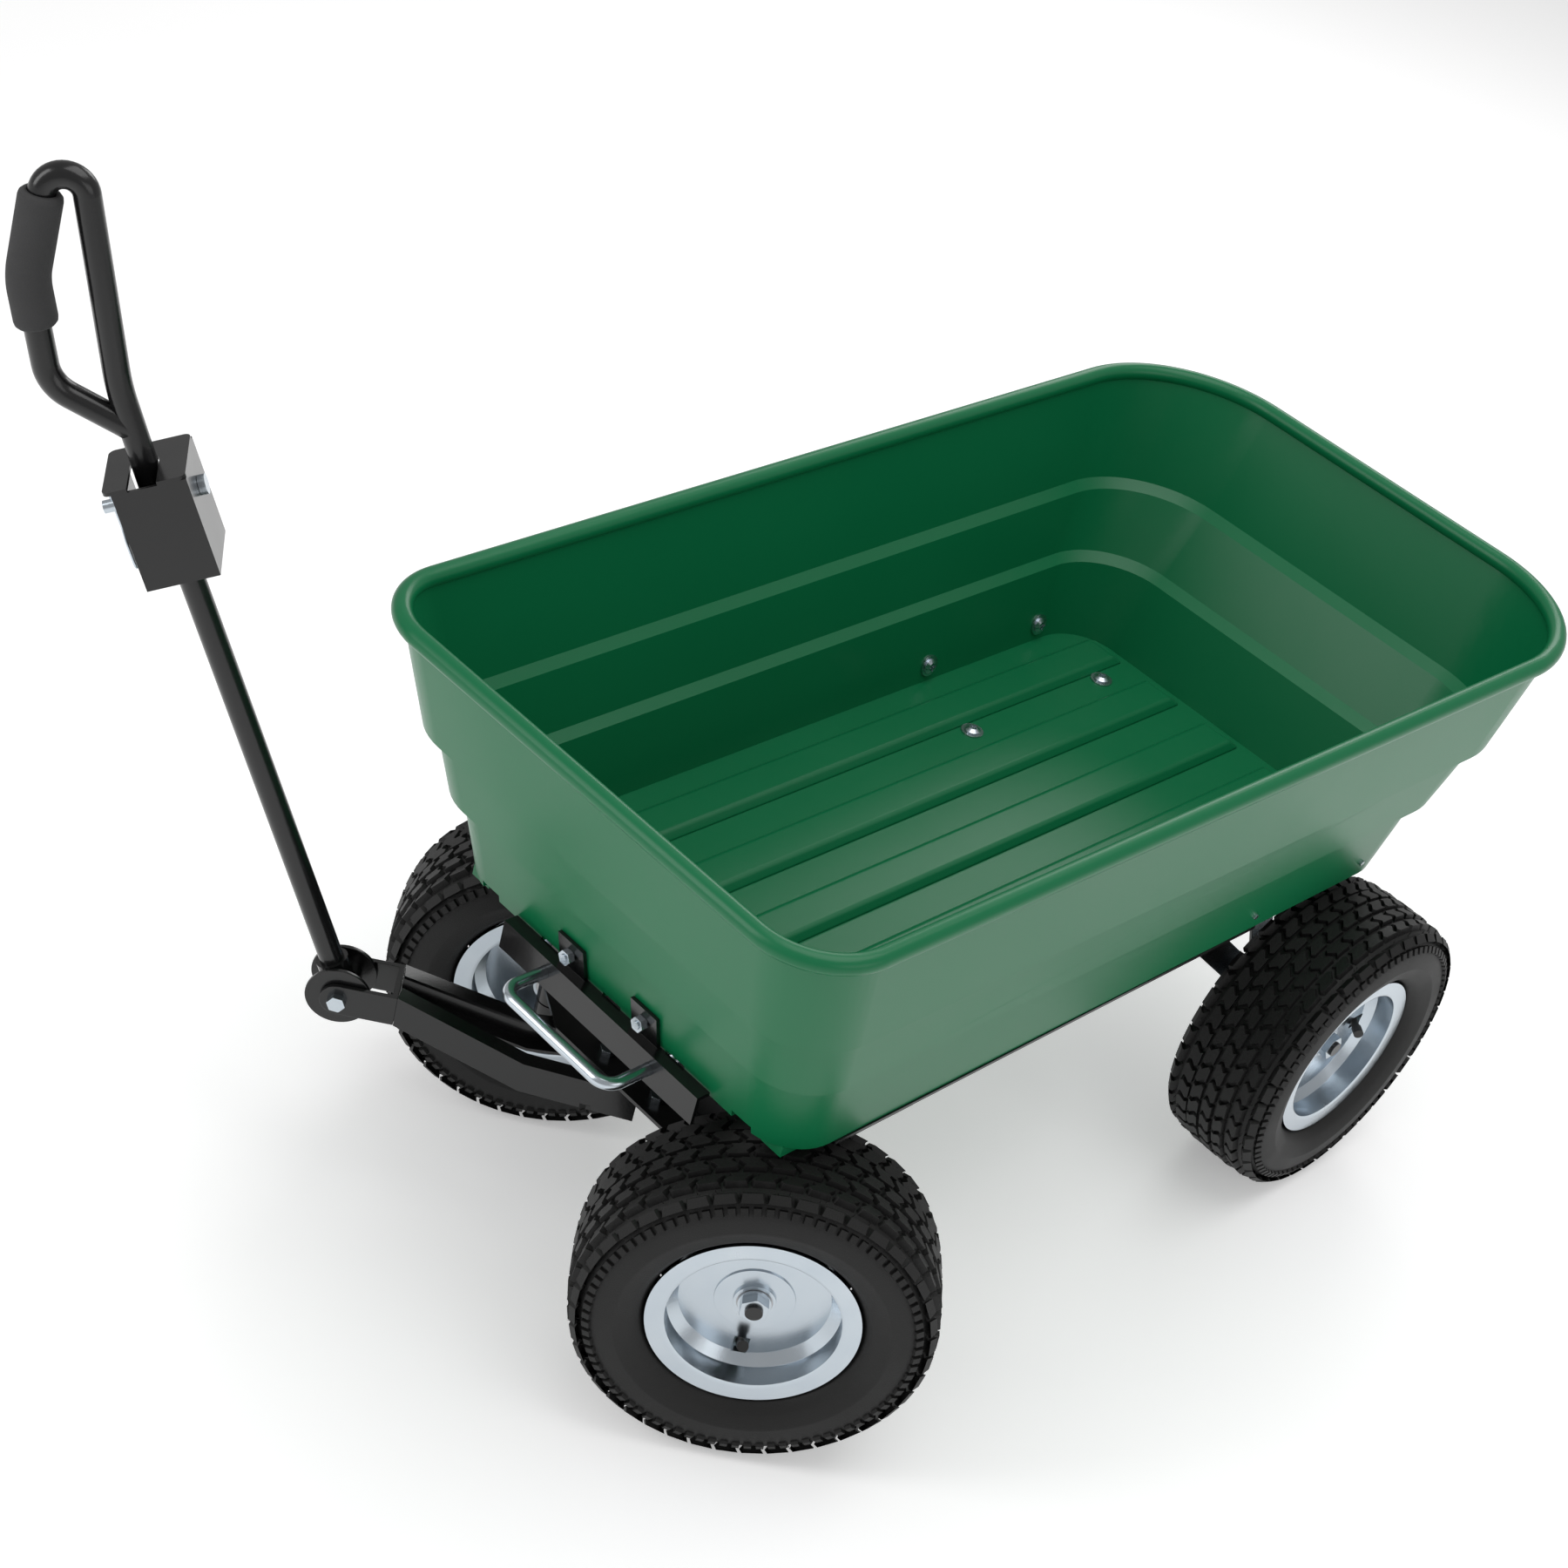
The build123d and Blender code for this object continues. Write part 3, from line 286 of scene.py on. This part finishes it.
TUB_EDGE, PLATE_EDGE, NUT_EDGE, RIM_EDGE = 0.0022, 0.0007, 0.00035, 0.0008
softened("tub", TUB_EDGE, angle=12, steps=3, title="moulded_tub")
for name in ("rail_left", "rail_right", "rear_leg_left", "rear_leg_right", "front_cross", "front_plate",
             "striker", "drawbar_base", "drawbar_arms", "yoke", "hitch_box", "latch_bracket", "bolsters",
             "axle_beam", "tie_bar", "hinge_bracket_left", "hinge_bracket_right", "friction_discs",
             "pivot_block"):
    softened(name, PLATE_EDGE)
for name in ("frame_bolts", "bracket_bolts", "pivot_bolt", "rear_axle_nuts", "front_axle_nut_left",
             "front_axle_nut_right", "tub_screws", "kingpin_nut_left", "kingpin_nut_right"):
    softened(name, NUT_EDGE, angle=30)
for name in ("rim_front_left", "rim_front_right", "rim_rear_left", "rim_rear_right"):
    softened(name, RIM_EDGE, angle=30)
print("rounded pieces made")

# %% [markdown]
# The floor of the tub is stiffened by five long ribs. A mould cannot pull straight sides, so each rib
# leans in towards its top and slopes down at both ends, and all its edges are well rounded.

# %% Floor ribs
RIB_PITCH, RIB_BACK, RIB_FRONT = 0.085, -0.074, 0.768
RIB_FOOT, RIB_TOP, RIB_LOW, RIB_HIGH, RIB_SLOPE, RIB_EDGE = 0.0255, 0.0178, 0.3496, 0.3590, 0.013, 0.0034
ribs = bmesh.new()
for k in (-2, -1, 0, 1, 2):
    rib = bmesh.ops.create_cube(ribs, size=1.0)["verts"]
    for v in rib:
        high = v.co.z > 0
        end = RIB_FRONT if v.co.x > 0 else RIB_BACK
        inward = (-RIB_SLOPE if v.co.x > 0 else RIB_SLOPE) if high else 0.0
        half = RIB_TOP if high else RIB_FOOT
        side = k * RIB_PITCH + math.copysign(half, v.co.y)
        v.co = Vector((end + inward, side, RIB_HIGH if high else RIB_LOW))
rib_mesh = bpy.data.meshes.new("floor_ribs")
ribs.to_mesh(rib_mesh)
ribs.free()
rounded(dressed("floor_ribs", rib_mesh, "green", "tub"), RIB_EDGE, steps=4)
print("floor ribs laid on the tub")

# %% [markdown]
# The tyre is a turf tyre: a smooth carcass with seven rows of low blocks. The carcass is a closed profile
# spun once around the wheel. The blocks are one small S-shaped lug, bent a little, and copied round each
# row; every second row is turned over, so the grooves between them run in waves. Moulding leaves small
# rubber hairs at the shoulder, which are thin tapering pins.

# %% Tyre pieces
TYRE_R = 0.165
GROOVE = 0.0045
LUGS = 42
LUG_WIDE, LUG_SHARE, LUG_SWAY, LUG_SUNK, LUG_EDGE = 0.0146, 0.86, 0.0034, 0.004, 0.0006
ROWS = (0.0, 0.0168, -0.0168, 0.0334, -0.0334, 0.0490, -0.0490)
SHOULDER_R, SHOULDER_W, SHOULDER_LEAN = 0.1440, 0.0562, 64
HAIRS = 130
# Half of the tyre's section from bead to crown, as (radius, distance from the middle plane).
CROWN = [(0.1000, 0.0485), (0.1070, 0.0555), (0.1180, 0.0590), (0.1205, 0.0602), (0.1225, 0.0602),
         (0.1250, 0.0598), (0.1360, 0.0590), (0.1450, 0.0560), (0.1515, 0.0510), (0.1560, 0.0430),
         (0.1580, 0.0300), (0.1592, 0.0150), (0.1595, 0.0)]


def crown_at(w):
    w = abs(w)
    points = sorted((b, a) for a, b in CROWN[5:])
    for (w0, r0), (w1, r1) in zip(points, points[1:]):
        if w <= w1:
            return r0 + (r1 - r0) * (w - w0) / (w1 - w0)
    return points[-1][1]


def carcass(work):
    outer = CROWN + [(r, -w) for r, w in reversed(CROWN[:-1])]
    inner = [(0.0955, -0.0425), (0.0955, 0.0425)]
    ring = [work.verts.new((r, 0, w)) for r, w in outer + inner]
    edges = [work.edges.new((a, b)) for a, b in zip(ring, ring[1:] + ring[:1])]
    bmesh.ops.spin(work, geom=ring + edges, axis=(0, 0, 1), cent=(0, 0, 0), dvec=(0, 0, 0),
                   angle=math.radians(360), steps=120, use_merge=True)


def lug(wide, long, tall, sway, turn):
    block = bmesh.new()
    bmesh.ops.create_cube(block, size=1.0)
    long_edges = [e for e in block.edges if abs(e.verts[0].co.z - e.verts[1].co.z) > 0.5]
    bmesh.ops.subdivide_edges(block, edges=long_edges, cuts=3, use_grid_fill=True)
    for v in block.verts:
        top = 0.84 if v.co.x > 0 else 1.0
        wave = sway * math.sin(v.co.z * math.pi * 1.8) * turn
        v.co = Vector((v.co.x * tall, v.co.y * long * top + wave, v.co.z * wide * top))
    bottom = [f for f in block.faces if all(v.co.x < 0 for v in f.verts)]
    bmesh.ops.delete(block, geom=bottom, context="FACES_ONLY")
    made = bpy.data.meshes.new("lug")
    block.to_mesh(made)
    block.free()
    return made


def set_in(work, shape, place):
    placed = shape.copy()
    placed.transform(place)
    work.from_mesh(placed)
    bpy.data.meshes.remove(placed)


def tread(work, seed):
    dice = random.Random(seed)
    for index, w in enumerate(ROWS):
        base = crown_at(w)
        lean = math.atan2(crown_at(abs(w) + 0.006) - crown_at(abs(w) - 0.006), 0.012) if w else 0.0
        lean = lean if w > 0 else -lean
        top = min(TYRE_R, base + GROOVE) - base
        even_row = index in (0, 3, 4)
        pitch = 2 * math.pi * base / LUGS
        block = lug(LUG_WIDE, pitch * LUG_SHARE, top + LUG_SUNK, LUG_SWAY, 1 if even_row else -1)
        for k in range(LUGS):
            angle = 2 * math.pi * (k + (0.0 if even_row else 0.5)) / LUGS
            seat = Matrix.Translation((base + (top - LUG_SUNK) / 2, 0, w)) @ Matrix.Rotation(-lean, 4, "Y")
            set_in(work, block, Matrix.Rotation(angle, 4, "Z") @ seat)
    shoulder = lug(0.0085, 0.0078, 0.0060, 0.0, 1)
    for side in (1, -1):
        for k in range(2 * LUGS):
            angle = math.pi * (k + 0.5) / LUGS
            lean = Matrix.Rotation(math.radians(-SHOULDER_LEAN * side), 4, "Y")
            seat = Matrix.Translation((SHOULDER_R, 0, side * SHOULDER_W)) @ lean
            set_in(work, shoulder, Matrix.Rotation(angle, 4, "Z") @ seat)
    hair_work = bmesh.new()
    bmesh.ops.create_cone(hair_work, segments=4, radius1=0.0005, radius2=0.00015, depth=0.005)
    hair = bpy.data.meshes.new("hair")
    hair_work.to_mesh(hair)
    hair_work.free()
    for k in range(HAIRS):
        w = dice.choice((-1, 1)) * dice.uniform(0.043, 0.053)
        tip = Matrix.Translation((crown_at(w) + 0.0042, 0, w)) @ Matrix.Rotation(math.radians(90), 4, "Y")
        set_in(work, hair, Matrix.Rotation(dice.uniform(0, 2 * math.pi), 4, "Z") @ tip)


def wheel_place(joint):
    centre = Vector(joint["pos_m"])
    side = 1 if "left" in joint["child"] else -1
    axis = Vector(joint["axis"]).normalized() * side
    up = Vector((0, 0, 1))
    return Matrix.Translation(centre) @ Matrix((up, axis.cross(up), axis)).transposed().to_4x4()


pattern = bmesh.new()
carcass(pattern)
tread(pattern, 4)
bmesh.ops.remove_doubles(pattern, verts=pattern.verts, dist=1e-6)
bmesh.ops.recalc_face_normals(pattern, faces=pattern.faces)
for joint in frame["joints"]:
    if joint["child"].startswith("wheel_"):
        where_to = joint["child"][6:]
        mesh = bpy.data.meshes.new("turf_tyre_" + where_to)
        copy = pattern.copy()
        bmesh.ops.transform(copy, matrix=wheel_place(joint), verts=copy.verts)
        copy.to_mesh(mesh)
        copy.free()
        tyre = dressed(mesh.name, mesh, "tyre", joint["child"], stands_for="tyre_" + where_to)
        rounded(tyre, LUG_EDGE, steps=1, angle=40)
print("turf tyres, faces each:", len(mesh.polygons))

# %% [markdown]
# The grip is a foam sleeve pushed over the bent tube. It is swept as rings along the tube's bend and its
# ends are rounded inwards, where the foam has been cut and rubbed. It is a padded piece: soft, but tight.

# %% Foam grip
STEER, LEAN, YAW = math.radians(-46), math.radians(66), math.radians(9)
along = Vector((math.cos(STEER), math.sin(STEER), 0))
across = Vector((-math.sin(STEER), math.cos(STEER), 0))
rise = Vector((0, 0, 1))
shaft = along * math.cos(LEAN) + rise * math.sin(LEAN)
front = along * math.sin(LEAN) - rise * math.cos(LEAN)
front_turned = front * math.cos(YAW) + across * math.sin(YAW)
across_turned = across * math.cos(YAW) - front * math.sin(YAW)
pivot = Vector((0.706, 0, 0)) + along * 0.303 + rise * 0.250
grip_frame = Matrix((shaft, front_turned, across_turned)).transposed().to_4x4()
grip_frame.translation = pivot + across_turned * -0.020


def rounded_run(a, corner, b, radius, steps):
    into = (corner - a).normalized()
    out = (b - corner).normalized()
    turn = into.angle(out)
    cut = radius * math.tan(turn / 2)
    side = (out - into * into.dot(out)).normalized()
    centre = corner - into * cut + side * radius
    return [centre + (into * math.sin(turn * i / steps) - side * math.cos(turn * i / steps)) * radius
            for i in range(steps + 1)]


def swept(work, points, radii, sides):
    rings = []
    for i, p in enumerate(points):
        ahead = points[min(i + 1, len(points) - 1)] - points[max(i - 1, 0)]
        made = bmesh.ops.create_circle(work, segments=sides, radius=radii[i])["verts"]
        frame_at = ahead.normalized().to_track_quat("Z", "Y").to_matrix().to_4x4()
        bmesh.ops.transform(work, matrix=Matrix.Translation(p) @ frame_at, verts=made)
        rings.append(made)
    for a, b in zip(rings, rings[1:]):
        pair = list({e for v in a + b for e in v.link_edges
                     if (e.verts[0] in a and e.verts[1] in a) or (e.verts[0] in b and e.verts[1] in b)})
        bmesh.ops.bridge_loops(work, edges=pair)
    return rings


TUBE_TOP = Vector((0.870, -0.041, 0))
TUBE_CORNER = Vector((0.7096, 0.0438, 0))
TUBE_LOW = Vector((0.6196, 0.0578, 0))
TUBE_BEND, ABOVE_FOAM, BELOW_BEND = 0.070, 0.1090, 0.0285
bend = rounded_run(TUBE_TOP, TUBE_CORNER, TUBE_LOW, TUBE_BEND, 10)
top_end = TUBE_TOP + (bend[0] - TUBE_TOP).normalized() * ABOVE_FOAM
low_end = bend[-1] + (TUBE_LOW - bend[-1]).normalized() * BELOW_BEND
line = ([top_end] + [top_end.lerp(bend[0], t) for t in (0.25, 0.5, 0.75)] + bend
        + [bend[-1].lerp(low_end, 0.5), low_end])
first, last = (line[1] - line[0]).normalized(), (line[-1] - line[-2]).normalized()
R, HOLE = 0.0175, 0.0111
lip = [(0.004, HOLE), (0.0003, HOLE + 0.0005), (0.0006, R - 0.0028), (0.0030, R - 0.0006), (0.006, R)]
line = ([line[0] + first * depth for depth, _ in lip] + line[1:-1]
        + [line[-1] - last * depth for depth, _ in reversed(lip)])
radii = [r for _, r in lip] + [R] * (len(line) - 2 * len(lip)) + [r for _, r in reversed(lip)]
foam = bmesh.new()
swept(foam, line, radii, 40)
bmesh.ops.transform(foam, matrix=grip_frame, verts=foam.verts)
bmesh.ops.recalc_face_normals(foam, faces=foam.faces)
foam_mesh = bpy.data.meshes.new("foam_sleeve")
foam.to_mesh(foam_mesh)
foam.free()
sleeve = dressed("foam_sleeve", foam_mesh, "foam", "handle", stands_for="foam_grip")
print("foam sleeve", [round(v * 1000) for v in sleeve.dimensions], "mm")
